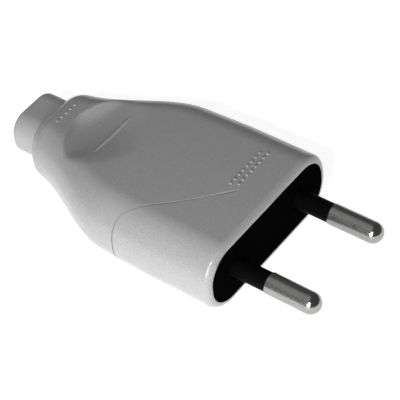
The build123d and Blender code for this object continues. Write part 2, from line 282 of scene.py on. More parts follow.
class PlugPinSizes(bpy.types.PropertyGroup):
    """Contact pins and their insulating sleeves."""
    spacing: FloatProperty(
        name="Spacing", description="Distance between the pins", default=0.019, unit="LENGTH")
    radius: FloatProperty(
        name="Pin radius", description="Radius of a pin", default=0.002, unit="LENGTH")
    projection: FloatProperty(
        name="Projection", description="How far a pin reaches beyond the mating face",
        default=0.0173, unit="LENGTH")
    edge_break: FloatProperty(
        name="Edge break", description="Size of the small bevels on a pin", default=0.00012, unit="LENGTH")
    neck_radius: FloatProperty(
        name="Neck radius", description="Radius of the pin inside its sleeve",
        default=0.00145, unit="LENGTH")
    shank_radius: FloatProperty(
        name="Shank radius", description="Radius of the pin in the carrier", default=0.0022, unit="LENGTH")
    head_radius: FloatProperty(
        name="Head radius", description="Radius of the head that holds the wire",
        default=0.0029, unit="LENGTH")
    head_front: FloatProperty(
        name="Head front", description="Depth of the head's front behind the face",
        default=0.009, unit="LENGTH")
    head_length: FloatProperty(
        name="Head length", description="Length of the head", default=0.012, unit="LENGTH")
    wire_hole_radius: FloatProperty(
        name="Wire hole radius", description="Radius of the wire hole in the head",
        default=0.0014, unit="LENGTH")
    wire_hole_depth: FloatProperty(
        name="Wire hole depth", description="Depth of the wire hole", default=0.008, unit="LENGTH")
    sleeve_reach: FloatProperty(
        name="Sleeve reach", description="How far a sleeve reaches beyond the face",
        default=0.0069, unit="LENGTH")
    sleeve_root: FloatProperty(
        name="Sleeve root", description="How deep a sleeve starts behind the face",
        default=0.003, unit="LENGTH")
    sleeve_radius: FloatProperty(
        name="Sleeve radius", description="Radius of a sleeve", default=0.00184, unit="LENGTH")
    sleeve_round: FloatProperty(
        name="Sleeve round", description="Radius of the front edge of a sleeve",
        default=0.0002, unit="LENGTH")
    flange_depth: FloatProperty(
        name="Flange depth", description="How deep the sleeve's flange lies behind the face",
        default=0.0005, unit="LENGTH")


class PlugFinishes(bpy.types.PropertyGroup):
    """Colours of the moulded and metal parts."""
    cover_colour: FloatVectorProperty(
        name="Cover colour", description="Satin silver-grey of the cover", subtype="COLOR", size=3,
        default=(0.365, 0.365, 0.365), min=0, max=1)
    nozzle_colour: FloatVectorProperty(
        name="Nozzle colour", description="Softer grey of the cord nozzle", subtype="COLOR", size=3,
        default=(0.40, 0.40, 0.40), min=0, max=1)
    black_colour: FloatVectorProperty(
        name="Black colour", description="Black of the carrier and the sleeves", subtype="COLOR", size=3,
        default=(0.002, 0.002, 0.002), min=0, max=1)
    nickel_colour: FloatVectorProperty(
        name="Nickel colour", description="Plating of the contact pins", subtype="COLOR", size=3,
        default=(0.35, 0.35, 0.345), min=0, max=1)
    steel_colour: FloatVectorProperty(
        name="Steel colour", description="Zinc plating of the screws and nuts", subtype="COLOR", size=3,
        default=(0.56, 0.57, 0.58), min=0, max=1)
    clamp_colour: FloatVectorProperty(
        name="Clamp colour", description="Dark grey of the cord clamp", subtype="COLOR", size=3,
        default=(0.05, 0.05, 0.05), min=0, max=1)
    floor_colour: FloatVectorProperty(
        name="Floor colour", description="Pale grey of the studio floor", subtype="COLOR", size=3,
        default=(0.75, 0.75, 0.75), min=0, max=1)


class PlugStageSettings(bpy.types.PropertyGroup):
    """Camera, floor and light for the studio."""
    azimuth: FloatProperty(
        name="Azimuth", description="Direction of view in plan",
        default=math.radians(41.99), subtype="ANGLE")
    elevation: FloatProperty(
        name="Elevation", description="Height of the camera above the horizon",
        default=math.radians(45.5), subtype="ANGLE")
    roll: FloatProperty(
        name="Roll", description="Turn of the camera about its line of sight",
        default=math.radians(-7.28), subtype="ANGLE")
    distance: FloatProperty(
        name="Distance", description="Distance of the camera from the mating face",
        default=0.3122, unit="LENGTH")
    shift_right: FloatProperty(
        name="Face right of centre", description="How far right of the view's middle the mating face lies",
        default=0.01194, unit="LENGTH")
    shift_up: FloatProperty(
        name="Face above centre", description="How far above the view's middle the mating face lies",
        default=-0.00557, unit="LENGTH")
    lens: FloatProperty(
        name="Lens", description="Focal length for a 36 mm sensor", default=161.9, unit="CAMERA")
    floor_glow: FloatProperty(
        name="Floor glow", description="Light given off by the pale floor", default=0.80)
    glow_near: FloatProperty(
        name="Glow near", description="Distance at which the floor's glow starts to fall off",
        default=0.1, unit="LENGTH")
    glow_far: FloatProperty(
        name="Glow far", description="Distance beyond which the floor's glow falls no further",
        default=0.9, unit="LENGTH")
    glow_left: FloatProperty(
        name="Glow left", description="Share of the floor's glow that is left far away", default=0.7)
    air_glow: FloatProperty(
        name="Air glow", description="Strength of the even light from all around", default=0.11)
    key_power: FloatProperty(
        name="Key light", description="Power of the low key light", default=0.2, unit="POWER")
    key_place: FloatVectorProperty(
        name="Key light place", description="Place of the low key light", size=3,
        default=(0.045, -0.15, 0.055), subtype="TRANSLATION", unit="LENGTH")
    key_aim: FloatProperty(
        name="Key light aim", description="Place along the plug that the key light faces",
        default=-0.005, unit="LENGTH")
    key_size: FloatProperty(
        name="Key light size", description="Side of the key light's square", default=0.075, unit="LENGTH")
    edge_power: FloatProperty(
        name="Edge light", description="Power of the small light that catches the edges",
        default=0.75, unit="POWER")
    edge_place: FloatVectorProperty(
        name="Edge light place", description="Place of the small light that catches the edges", size=3,
        default=(0.145, -0.335, 0.33), subtype="TRANSLATION", unit="LENGTH")
    edge_aim: FloatProperty(
        name="Edge light aim", description="Place along the plug that the edge light faces",
        default=-0.01, unit="LENGTH")
    edge_size: FloatProperty(
        name="Edge light size", description="Side of the edge light's square",
        default=0.025, unit="LENGTH")
    fill_power: FloatProperty(
        name="Fill light", description="Power of the soft overhead light", default=0.42, unit="POWER")
    fill_place: FloatVectorProperty(
        name="Fill light place", description="Place of the soft overhead light", size=3,
        default=(-0.25, -0.12, 0.55), subtype="TRANSLATION", unit="LENGTH")
    fill_aim: FloatProperty(
        name="Fill light aim", description="Place along the plug that the fill light faces",
        default=-0.02, unit="LENGTH")
    fill_size: FloatProperty(
        name="Fill light size", description="Side of the fill light's square", default=0.60, unit="LENGTH")


def ease(u):
    """A smooth step: three times the square less twice the cube, held at 0 below 0 and at 1 above 1."""
    u = np.clip(u, 0.0, 1.0)
    return u * u * (3 - 2 * u)


def soft_min(a, b, blend):
    """The lower of a and b, rounded where they cross: less a parabola as wide as the blend."""
    share = np.clip(0.5 + 0.5 * (b - a) / blend, 0.0, 1.0)
    return b + (a - b) * share - blend * share * (1 - share)


def curve_through(known_x, known_y, x):
    """A cubic through known points: between two of them it has their heights and their slopes."""
    slope = np.gradient(known_y, known_x)
    k = np.clip(np.searchsorted(known_x, x) - 1, 0, len(known_x) - 2)
    step = known_x[k + 1] - known_x[k]
    u = (x - known_x[k]) / step
    rise = (1 + 2 * u) * (1 - u) ** 2 * known_y[k] + u * u * (3 - 2 * u) * known_y[k + 1]
    return rise + step * (u * (1 - u) ** 2 * slope[k] - u * u * (1 - u) * slope[k + 1])


def even_places(start, *stretches):
    """Places along X: from the start, each stretch runs on in its number of even steps to its end."""
    places = [np.array([start])]
    for end, steps in stretches:
        places.append(np.linspace(places[-1][-1], end, steps + 1)[1:])
    return np.concatenate(places)


def grid_faces(rings, columns, closed_rings=False):
    """Four-sided faces between neighbouring rings and columns. Columns and closed rings join end to start."""
    i = np.arange(rings if closed_rings else rings - 1)[:, None]
    j = np.arange(columns)[None, :]
    on_i, on_j = (i + 1) % rings, (j + 1) % columns
    corners = (i * columns + j, i * columns + on_j, on_i * columns + on_j, on_i * columns + j)
    return np.stack(np.broadcast_arrays(*corners), axis=-1)


def skin_mesh(skin, closed_rings=False):
    """Points and faces of a skin that is given as rings of points."""
    return skin.reshape(-1, 3), grid_faces(*skin.shape[:2], closed_rings).reshape(-1, 4)


def make_piece(name, points, faces, material, slot, nodes=()):
    """Puts points and four-sided faces into a mesh, merges seams and poles and turns the faces outwards."""
    mesh = bpy.data.meshes.new(name)
    mesh.vertices.add(len(points))
    mesh.vertices.foreach_set("co", np.ascontiguousarray(points, dtype=np.float32).ravel())
    mesh.loops.add(4 * len(faces))
    mesh.loops.foreach_set("vertex_index", np.ascontiguousarray(faces, dtype=np.int32).ravel())
    mesh.polygons.add(len(faces))
    mesh.polygons.foreach_set("loop_start", np.arange(0, 4 * len(faces), 4, dtype=np.int32))
    mesh.update(calc_edges=True)
    solid = bmesh.new()
    solid.from_mesh(mesh)
    bmesh.ops.remove_doubles(solid, verts=solid.verts, dist=SAME_POINT)
    bmesh.ops.dissolve_degenerate(solid, edges=solid.edges, dist=NO_LENGTH)
    bmesh.ops.recalc_face_normals(solid, faces=solid.faces)
    solid.to_mesh(mesh)
    solid.free()
    mesh.shade_smooth()
    mesh.set_sharp_from_angle(angle=SHARP_ANGLE)
    mesh.materials.append(material)
    piece = bpy.data.objects.new(name, mesh)
    bpy.context.scene.collection.objects.link(piece)
    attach(piece, BODY)
    if nodes:
        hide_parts(*nodes)


def section_columns(flat=72, corner=42, side=4):
    """Columns round a rounded rectangle: each hangs on a corner's centre, or between two, and faces outwards.

    The rows are the centre's side across and up, from -1 to 1, and the outward direction across and up.
    """
    centres = [(1, 1), (-1, 1), (-1, -1), (1, -1)]
    rows = []
    for k, here in enumerate(centres):
        there = centres[(k + 1) % 4]
        turn = (k + np.arange(corner) / corner) * math.pi / 2
        rows.append(np.stack([np.full(corner, here[0]), np.full(corner, here[1]),
                              np.cos(turn), np.sin(turn)]))
        count = flat if k % 2 == 0 else side
        share = np.arange(count) / count
        end = (k + 1) * math.pi / 2
        rows.append(np.stack([here[0] + (there[0] - here[0]) * share,
                              here[1] + (there[1] - here[1]) * share,
                              np.full(count, round(math.cos(end))), np.full(count, round(math.sin(end)))]))
    return np.concatenate(rows, axis=1)


def oblong(columns, half_w, half_t, corner):
    """Points on a rounded rectangle: the corner's centre plus its radius along the outward way."""
    side, level, out_y, out_z = columns
    return side * (half_w - corner) + out_y * corner, level * (half_t - corner) + out_z * corner


def circles(x, radius, turn, y=0.0):
    """Circles round X at that y: across by the radius times the cosine, up by it times the sine."""
    along = np.repeat(x[:, None], len(turn), axis=1)
    return np.stack([along, y + np.outer(radius, np.cos(turn)), np.outer(radius, np.sin(turn))], axis=-1)


def turned_mesh(profile, y, closed=False):
    """A turned form along X: a profile's stretches of x and radius carried round the axis at that y."""
    x, radius = np.concatenate(profile).T
    turn = np.arange(TURN_COLUMNS) * 2 * math.pi / TURN_COLUMNS
    return skin_mesh(circles(x, radius, turn, y), closed)


def straight(first_x, last_x, radius, count):
    """A stretch of a profile at one radius, of so many points."""
    return np.stack([np.linspace(first_x, last_x, count), np.full(count, radius)], axis=1)


def quarter_round(x, radius, size, count):
    """A quarter round of a profile about x and radius: ahead by the sine and outwards by the cosine."""
    turn = np.linspace(0, math.pi / 2, count)
    return np.stack([x + size * np.sin(turn), radius + size * np.cos(turn)], axis=1)


def cover_half_width(sizes, x):
    """Half the width of the cover: the drafted front, eased down to the collar between shoulder and neck."""
    front = sizes.front_half_width - sizes.side_draft * np.maximum(0, -sizes.straight_length - x)
    share = ease((x - sizes.neck_x) / (sizes.shoulder_x - sizes.neck_x))
    return sizes.collar_half_width + (front - sizes.collar_half_width) * share


def cover_half_thickness(sizes, x):
    """Half the thickness of the cover, eased down over the same stretch."""
    share = ease((x - sizes.neck_x) / (sizes.shoulder_x - sizes.neck_x))
    return sizes.collar_half_thickness + (sizes.front_half_thickness - sizes.collar_half_thickness) * share


def scoop_bowl(cover, scoop, x):
    """The scoop's middle height and how sharply it bends across, at each x.

    The sides rise from the middle line as the square of the distance across, to the cover's skin at the
    scoop's edge. The edge is a leaf in front of the widest place and an arc behind it. The bend is evened
    out along the scoop, so no crease starts where the leaf meets the arc.
    """
    ahead = np.clip((x - scoop.wide_x) / (scoop.tip_x - scoop.wide_x), 0, 1)
    leaf = scoop.half_width * (1 - ahead**2) ** scoop.leaf_power
    rise = np.clip(x - scoop.rear_x, 0, scoop.rear_radius)
    arc = np.sqrt(scoop.rear_radius**2 - (scoop.rear_radius - rise) ** 2)
    edge = np.where(x > scoop.wide_x, leaf, np.minimum(arc, scoop.half_width))
    behind = np.clip((x - scoop.deep_x) / (scoop.rear_x - scoop.deep_x), 0, 1)
    sink = np.where(x > scoop.deep_x, ease((scoop.tip_x - x) / (scoop.tip_x - scoop.deep_x)),
                    np.sqrt(1 - behind**2))
    middle = cover_half_thickness(cover, x) - scoop.depth * sink
    corner = cover_half_thickness(cover, x) - cover.edge_flat
    over = np.maximum(0, edge - (cover_half_width(cover, x) - corner))
    skin = cover.edge_flat + np.sqrt(np.maximum(0, corner**2 - over**2))
    bend = np.log((skin - middle) / edge**2)
    eighth = len(x) // 8
    kernel = np.hanning(2 * eighth + 1)
    even = np.convolve(np.pad(bend, eighth, "edge"), kernel / kernel.sum(), "valid")
    return middle, np.exp(even)


def scoop_surface(cover, scoop, x, y):
    """Height of the scoop's bowl at x, y, with the rib on it, and well above the cover outside the scoop.

    The rib's height eases off to each side of its crest, and towards its ends with the fourth power of y.
    """
    along = np.linspace(scoop.rear_x, scoop.tip_x, SCOOP_SAMPLES + 2)[1:-1]
    middle, bend = scoop_bowl(cover, scoop, along)
    bowl = np.interp(x, along, middle) + np.interp(x, along, bend) * y**2
    off = np.abs(x - scoop.rib_x) / scoop.rib_width
    crest_half, flank = 0.25, 0.55
    crest = 1 - ease((off - crest_half) / flank)
    rib = scoop.rib_height * crest * np.maximum(0, 1 - (y / scoop.rib_half_length) ** 4)
    well_above = 1.0
    return np.where((x > scoop.rear_x) & (x < scoop.tip_x), bowl + rib, well_above)


def cover_outside(cover, scoop, columns):
    """Rings of the cover's outside, from the lip to the collar's edge, with the scoops and the fine line.

    Each ring is a rounded rectangle as wide and as thick as the cover is at its x. The lip draws in as a
    quarter round. Beside the fine line the rings follow its course in plan, and they draw in by its depth,
    eased off to each side of its floor and towards its end. The scoops cut the rings' height with a soft
    minimum, which is crisper at their rear and at their tip.
    """
    plan_y = oblong(columns, cover.front_half_width, cover.front_half_thickness,
                    cover.front_half_thickness - cover.edge_flat)[0]
    ones = np.ones(columns.shape[1])

    turn = np.linspace(math.pi / 2, 0, LIP_RINGS + 1)[:-1]
    lip_x = np.outer(cover.lip_round * (np.sin(turn) - 1), ones)
    lip_in = np.outer(cover.lip_round * (1 - np.cos(turn)), ones)

    line = curve_through(LINE_Y, LINE_X, plan_y)
    lean = np.interp(plan_y, LINE_Y, np.sqrt(1 + np.gradient(LINE_X, LINE_Y) ** 2))
    groove_x = line - (LINE_STEPS * cover.line_width)[:, None] * lean
    fade = ease((cover.line_end_y - plan_y) / cover.line_fade)
    dip = 1 - ease((np.abs(LINE_STEPS) - LINE_FLOOR) / (LINE_RIM - LINE_FLOOR))
    groove_in = cover.line_depth * np.outer(dip, fade)

    share = np.linspace(0, 1, FRONT_RINGS + 1)[:-1, None]
    front_x = -cover.lip_round * (1 - share) + groove_x[0] * share
    share = np.linspace(0, 1, MIDDLE_RINGS + 1)[1:, None]
    middle_x = groove_x[-1] * (1 - share) + scoop.tip_x * share
    stops = even_places(scoop.tip_x, (scoop.rib_x + RIB_REACH, AHEAD_RINGS),
                        (scoop.rib_x - RIB_REACH, RIB_RINGS), (scoop.rear_x - SCOOP_REACH, BEHIND_RINGS),
                        (cover.collar_x + cover.collar_round, COLLAR_RINGS))[1:]
    x = np.concatenate([lip_x, front_x, groove_x, middle_x, np.outer(stops, ones)])
    inset = np.zeros_like(x)
    inset[:LIP_RINGS] = lip_in
    inset[LIP_RINGS + FRONT_RINGS:LIP_RINGS + FRONT_RINGS + len(LINE_STEPS)] = groove_in

    half_t = cover_half_thickness(cover, x)
    corner = half_t - cover.edge_flat
    y, z = oblong(columns, cover_half_width(cover, x) - inset, half_t - inset, corner - inset)
    at_rear = ease((x - scoop.rear_x) / scoop.rear_soften)
    at_tip = ease((scoop.tip_x - x) / scoop.tip_soften)
    least = 0.001
    blend = scoop.edge_blend * (scoop.rear_softness + (1 - scoop.rear_softness) * at_rear) * (least + at_tip)
    z = np.sign(z) * soft_min(np.abs(z), scoop_surface(cover, scoop, x, y), blend)
    return np.stack([x, y, z], axis=-1)


def collar_end(cover, nozzle, columns):
    """Rings of the collar's rounded rear edge, each column stopping where it meets the nozzle hole.

    Where a column stops is found by halving, between an inset that is outside the hole and one that is not.
    """
    start = cover.collar_x + cover.collar_round

    def edge(inset):
        """The edge at an inset: back by the sine and in by the versine of one angle on the edge's round."""
        turn = np.arccos(np.clip(1 - inset / cover.collar_round, 0, 1))
        x = start - cover.collar_round * np.sin(turn)
        half_t = cover_half_thickness(cover, x)
        y, z = oblong(columns, cover_half_width(cover, x) - inset, half_t - inset,
                      half_t - cover.edge_flat - inset)
        return x, y, z

    def outside(y, z):
        """How far a point is outside the nozzle hole, a rounded rectangle a gap larger than the bush."""
        corner = nozzle.corner + FIT_GAP
        over_y = np.maximum(0, np.abs(y) - (nozzle.half_width + FIT_GAP - corner))
        over_z = np.maximum(0, np.abs(z) - (nozzle.half_thickness + FIT_GAP - corner))
        return np.hypot(over_y, over_z) - corner

    past_round = 1.2
    low = np.zeros(columns.shape[1])
    high = np.full(columns.shape[1], past_round * cover.collar_round)
    for _ in range(HALVINGS):
        middle = (low + high) / 2
        _, y, z = edge(middle)
        clear = outside(y, z) > 0
        low = np.where(clear, middle, low)
        high = np.where(clear, high, middle)
    full = np.arccos(np.clip(1 - low / cover.collar_round, 0, 1))
    turn = full * np.linspace(0, 1, EDGE_RINGS + 1)[1:, None]
    inset = cover.collar_round * (1 - np.cos(turn))
    inset[-1] = low
    rim = np.stack(edge(inset), axis=-1)
    root = rim[-1].copy()
    root[:, 0] = cover.room_end_x
    return rim, root[None]


def cover_inside(cover, columns):
    """Rings of the room inside, nozzle to mouth: the cover less its wall, eased down under the scoops."""
    x = even_places(cover.room_end_x, (cover.recess_x - PATCH_HALF_LENGTH, ROOM_RINGS),
                    (cover.recess_x + PATCH_HALF_LENGTH, PATCH_RINGS), (0, MOUTH_RINGS))[:, None]
    share = ease((x - cover.low_room_x) / cover.low_room_rise)
    half_t = cover.low_room + (cover_half_thickness(cover, x) - cover.wall - cover.low_room) * share
    y, z = oblong(columns, cover_half_width(cover, x) - cover.wall, half_t, half_t - cover.edge_flat)
    return np.stack([np.broadcast_to(x, y.shape), y, z], axis=-1)


def block_loop(front_ring, rear_ring, first_column, last_column, columns):
    """Vertex numbers round a block of a grid: across its front, rearwards, across its rear and forwards."""
    way = 1 if rear_ring > front_ring else -1
    across = np.arange(first_column, last_column)
    along = np.arange(front_ring, rear_ring, way)
    i = np.concatenate([np.full(len(across), front_ring), along,
                        np.full(len(across), rear_ring), along[::-1] + way])
    j = np.concatenate([across, np.full(len(along), last_column),
                        across[::-1] + 1, np.full(len(along), first_column)])
    return i * columns + j


def recess_strip(cover, outer_loop, inner_loop):
    """Rings of the screw recess and its boss, between a loop in the outside and one in the room inside.

    Each ring is a circle of the profile's radius at its height. The first rings blend the outer loop into
    the rim's circle, and the last blend the boss's circle into the inner loop.
    """
    centre = np.array([cover.recess_x, 0.0])
    count = len(outer_loop)
    away = outer_loop[:, :2] - centre
    turn = np.unwrap(np.arctan2(away[:, 1], away[:, 0]))
    even = np.sign(turn[-1] - turn[0]) * np.arange(count) * 2 * math.pi / count
    even = even + (turn - even).mean()
    bottom, room = outer_loop[0, 2], inner_loop[0, 2]
    seat = bottom + cover.recess_depth
    top = seat + cover.recess_floor
    boss = cover.recess_radius + cover.wall
    rim = np.linspace(math.pi / 2, 0, ROUND_POINTS)
    radius = np.concatenate([cover.recess_radius + cover.recess_rim * (1 - np.cos(rim)),
                             [cover.recess_radius, cover.recess_radius - EDGE_BREAK,
                              cover.screw_hole_radius, cover.screw_hole_radius, boss, boss]])
    height = np.concatenate([bottom + cover.recess_rim * (1 - np.sin(rim)),
                             [seat - EDGE_BREAK, seat, seat, top, top, room]])
    rings = np.stack([centre[0] + np.outer(radius, np.cos(even)), np.outer(radius, np.sin(even)),
                      np.repeat(height[:, None], count, axis=1)], axis=-1)
    share = np.linspace(0, 1, BLEND_RINGS + 2)[1:-1, None, None]
    lead_in = outer_loop * (1 - share) + rings[0] * share
    lead_out = rings[-1] * (1 - share) + inner_loop * share
    return np.concatenate([lead_in, rings, lead_out])


def cover_mesh(cover, scoop, nozzle):
    """The whole cover as one closed skin: outside, rear edge, nozzle hole, room and the screw recess.

    The skin is a ring-shaped grid. A patch of its outside and one of its room are taken out in the
    underside, and the recess's strip joins their edges.
    """
    columns = section_columns()
    outside = cover_outside(cover, scoop, columns)
    rim, root = collar_end(cover, nozzle, columns)
    skin = np.concatenate([outside, rim, root, cover_inside(cover, columns)])
    rings, count = skin.shape[:2]
    faces = grid_faces(rings, count, closed_rings=True)
    points = skin.reshape(-1, 3)

    front = LIP_RINGS + FRONT_RINGS + len(LINE_STEPS) + PATCH_LEAD
    rear = front + PATCH_RINGS
    room_rear = len(outside) + len(rim) + len(root) + ROOM_RINGS
    room_front = room_rear + PATCH_RINGS
    flat = np.flatnonzero((columns[1] == -1) & (columns[3] == -1))
    across = flat[np.abs(outside[front, flat, 1]) < PATCH_HALF_WIDTH]
    first_column, last_column = across[0], across[-1]
    outer = block_loop(front, rear, first_column, last_column, count)
    inner = block_loop(room_front, room_rear, first_column, last_column, count)
    keep = np.ones((rings, count), bool)
    keep[front:rear, first_column:last_column] = False
    keep[room_rear:room_front, first_column:last_column] = False

    strip = recess_strip(cover, points[outer], points[inner])
    strip_numbers = len(points) + np.arange(strip.shape[0] * strip.shape[1]).reshape(strip.shape[:2])
    numbers = np.concatenate([outer[None], strip_numbers, inner[None]])
    strip_faces = numbers.ravel()[grid_faces(*numbers.shape)]
    points = np.concatenate([points, strip.reshape(-1, 3)])
    faces = np.concatenate([faces[keep], strip_faces.reshape(-1, 4)])
    return points, faces


def nozzle_mesh(cover, nozzle):
    """The cord bush as one closed skin: ears, bush with a rounded end, and the bore back to the ears.

    The outside's rings are rounded rectangles, and its end draws in as a quarter round. The bore's rings
    are circles, and its mouth opens as a quarter round.
    """
    columns = section_columns(flat=20, corner=26, side=12)
    bush_rings, end_rings, bore_rings = 30, 8, 11
    ear_front = cover.room_end_x + nozzle.ear_length
    ear_half = cover.low_room - FIT_GAP
    ear_corner = ear_half - nozzle.ear_flat
    ears = np.array([
        (ear_front, nozzle.ear_reach - EDGE_BREAK, ear_half - EDGE_BREAK, ear_corner - EDGE_BREAK),
        (ear_front - EDGE_BREAK, nozzle.ear_reach, ear_half, ear_corner),
        (cover.room_end_x, nozzle.ear_reach, ear_half, ear_corner)])
    turn = np.linspace(0, math.pi / 2, end_rings + 1)[1:]
    x = np.concatenate([np.linspace(cover.room_end_x, nozzle.end_x + nozzle.end_round, bush_rings),
                        nozzle.end_x + nozzle.end_round * (1 - np.sin(turn))])
    inset = np.concatenate([np.zeros(bush_rings), nozzle.end_round * (1 - np.cos(turn))])
    bush = np.stack([x, nozzle.half_width - inset, nozzle.half_thickness - inset,
                     nozzle.corner - inset], axis=1)
    x, half_w, half_t, corner = np.concatenate([ears, bush]).T[:, :, None]
    y, z = oblong(columns, half_w, half_t, corner)
    outside = np.stack([np.broadcast_to(x, y.shape), y, z], axis=-1)

    turn = np.linspace(0, math.pi / 2, ROUND_POINTS)
    bore_start = nozzle.end_x + nozzle.bore_mouth
    bore_x = np.concatenate([nozzle.end_x + nozzle.bore_mouth * (1 - np.cos(turn)),
                             np.linspace(bore_start, ear_front, bore_rings + 1)[1:]])
    bore_radius = np.concatenate([nozzle.bore_radius + nozzle.bore_mouth * (1 - np.sin(turn)),
                                  np.full(bore_rings, nozzle.bore_radius)])
    bore = circles(bore_x, bore_radius, np.arctan2(z[-1], y[-1]))
    return skin_mesh(np.concatenate([outside, bore]), closed_rings=True)


def pip_mesh(cover, marks):
    """Every raised pip as a dome: its height falls off as a quarter ellipse does, and its foot is sunk.

    The two front rows are moved along by the stagger, one to each side.
    """
    rows_x = [marks.front_x - marks.rows_apart / 2, marks.front_x + marks.rows_apart / 2]
    step = np.arange(marks.front_count) - (marks.front_count - 1) / 2
    front_y = np.concatenate([step - PIP_STAGGER, step + PIP_STAGGER]) * marks.pitch + marks.front_y
    rear_y = (np.arange(marks.rear_count) - (marks.rear_count - 1) / 2) * marks.pitch
    x = np.concatenate([np.repeat(rows_x, marks.front_count), np.full(marks.rear_count, marks.rear_x)])
    y = np.concatenate([front_y, rear_y])
    places = np.stack([x, y, cover_half_thickness(cover, x)], axis=-1)

    radius, lift = PIP_RADIUS * marks.radius, PIP_HEIGHT * marks.height
    turn = np.arange(PIP_COLUMNS) * 2 * math.pi / PIP_COLUMNS
    pip = np.stack([np.outer(radius, np.cos(turn)), np.outer(radius, np.sin(turn)),
                    np.repeat(lift[:, None], PIP_COLUMNS, axis=1)], axis=-1)
    points = places[:, None, None] + pip
    faces = skin_mesh(pip)[1] + (np.arange(len(places)) * pip[..., 0].size)[:, None, None]
    return points.reshape(-1, 3), faces.reshape(-1, 4)


def pin_mesh(pins, y):
    """A turned pin: wire hole, head, shank, neck, round-ended rod, as one profile round its axis."""
    head_rear = -pins.head_front - pins.head_length
    hole_end = head_rear + pins.wire_hole_depth
    bevel = pins.edge_break
    rod_lead, rod_points, dome_points = 0.0003, 24, 25
    round_from = pins.projection - pins.radius
    root = np.array([
        (hole_end, 0), (hole_end, pins.wire_hole_radius), (head_rear, pins.wire_hole_radius),
        (head_rear, pins.head_radius - 2 * bevel), (head_rear + 2 * bevel, pins.head_radius),
        (-pins.head_front - bevel, pins.head_radius), (-pins.head_front, pins.head_radius - bevel),
        (-pins.head_front, pins.shank_radius), (-pins.sleeve_root, pins.shank_radius),
        (-pins.sleeve_root, pins.neck_radius), (pins.sleeve_reach, pins.neck_radius),
        (pins.sleeve_reach, pins.radius - bevel), (pins.sleeve_reach + bevel, pins.radius)])
    rod = straight(pins.sleeve_reach + rod_lead, round_from, pins.radius, rod_points)[:-1]
    return turned_mesh([root, rod, quarter_round(round_from, 0, pins.radius, dome_points)], y)


def sleeve_mesh(pins, y):
    """An insulating sleeve: a tube whose front edge is a small quarter round, with a flange at its root."""
    front = pins.sleeve_reach - FIT_GAP
    bore = pins.neck_radius + FIT_GAP
    round_from = front - pins.sleeve_round
    flange = np.array([(-pins.sleeve_root, bore), (-pins.sleeve_root, pins.shank_radius),
                       (-pins.flange_depth, pins.shank_radius)])
    tube_points = 16
    tube = straight(-pins.flange_depth, round_from, pins.sleeve_radius, tube_points)
    edge = quarter_round(round_from, pins.sleeve_radius - pins.sleeve_round, pins.sleeve_round,
                         ROUND_POINTS)[1:]
    return turned_mesh([flange, tube, edge, np.array([(front, bore)])], y, closed=True)


def new_material(name, colour, roughness, metallic=0.0):
    """An empty finish: a shader with its own colour and gloss, and the piece's own coordinates."""
    material = bpy.data.materials.new(name)
    material.use_nodes = True
    nodes = material.node_tree.nodes
    shader = nodes["Principled BSDF"]
    shader.inputs["Base Color"].default_value = (*colour, 1)
    shader.inputs["Roughness"].default_value = roughness
    shader.inputs["Metallic"].default_value = metallic
    here = nodes.new("ShaderNodeTexCoord").outputs["Object"]
    return material, nodes, material.node_tree.links, shader, here


def noise(nodes, links, vector, scale, detail=2.0, roughness=0.5):
    """A noise pattern at so many lumps a metre."""
    pattern = nodes.new("ShaderNodeTexNoise")
    pattern.inputs["Scale"].default_value = scale
    pattern.inputs["Detail"].default_value = detail
    pattern.inputs["Roughness"].default_value = roughness
    links.new(vector, pattern.inputs["Vector"])
    return pattern.outputs["Fac"]


def spread(nodes, links, value, low, high, out_low, out_high):
    """A pattern's range carried to another range."""
    fit = nodes.new("ShaderNodeMapRange")
    ends = {"From Min": low, "From Max": high, "To Min": out_low, "To Max": out_high}
    for name, number in ends.items():
        fit.inputs[name].default_value = number
    links.new(value, fit.inputs["Value"])
    return fit.outputs["Result"]


def shade(nodes, links, value, colour, darker, lighter):
    """A colour that a pattern makes a little darker or lighter."""
    ramp = nodes.new("ShaderNodeValToRGB")
    dark, light = ramp.color_ramp.elements
    dark.position, light.position = PATTERN_LOW, PATTERN_HIGH
    dark.color = (*(c * darker for c in colour), 1)
    light.color = (*(min(1, c * lighter) for c in colour), 1)
    links.new(value, ramp.inputs["Fac"])
    return ramp.outputs["Color"]


def relief(nodes, links, value, strength, distance):
    """A bump from a pattern."""
    bump = nodes.new("ShaderNodeBump")
    bump.inputs["Strength"].default_value = strength
    bump.inputs["Distance"].default_value = distance
    links.new(value, bump.inputs["Height"])
    return bump.outputs["Normal"]


def moulded_plastic(name, colour, roughness, grain, depth, mottle=0.06, gloss=0.5):
    """Moulded plastic: fine eroded grain in the skin, with the colour and the gloss a little uneven.

    The grain is in lumps a metre, and the mottle is the share by which the colour varies.
    """
    material, nodes, links, shader, here = new_material(name, colour, roughness)
    shader.inputs["Specular IOR Level"].default_value = gloss
    coarser, glossier, duller = 0.7, 0.05, 0.07
    fine = noise(nodes, links, here, grain, detail=3)
    speck = noise(nodes, links, here, grain * coarser, detail=4, roughness=0.7)
    links.new(shade(nodes, links, speck, colour, 1 - mottle, 1 + mottle), shader.inputs["Base Color"])
    links.new(spread(nodes, links, fine, PATTERN_LOW, PATTERN_HIGH, roughness - glossier, roughness + duller),
              shader.inputs["Roughness"])
    links.new(relief(nodes, links, fine, strength=0.6, distance=depth), shader.inputs["Normal"])
    return material


